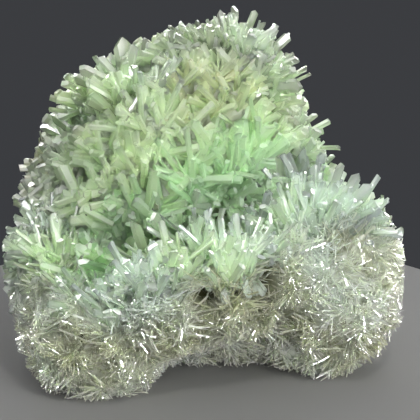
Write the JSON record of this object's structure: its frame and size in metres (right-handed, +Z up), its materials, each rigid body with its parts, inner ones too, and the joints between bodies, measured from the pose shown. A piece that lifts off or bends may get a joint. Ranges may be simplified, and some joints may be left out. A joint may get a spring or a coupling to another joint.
{
  "type": "gypsum crystal cluster",
  "caption": "Free-standing mineral specimen: pale green bladed gypsum crystals on a crown and a low front ridge, over lumpy mats of fine pale needles, on a flat base.",
  "frame": {"origin": "on the base plane, under the middle of the cluster's bounding box", "axes": "+X to the right of the show side, +Y towards the back, +Z up; the show side faces -Y"},
  "size_m": [0.0648, 0.0478, 0.0565],
  "materials": {
    "gypsum": "translucent pale green crystal, glossy faces"
  },
  "bodies": {
    "root": {"gypsum_cluster": "gypsum"}
  },
  "joints": []
}
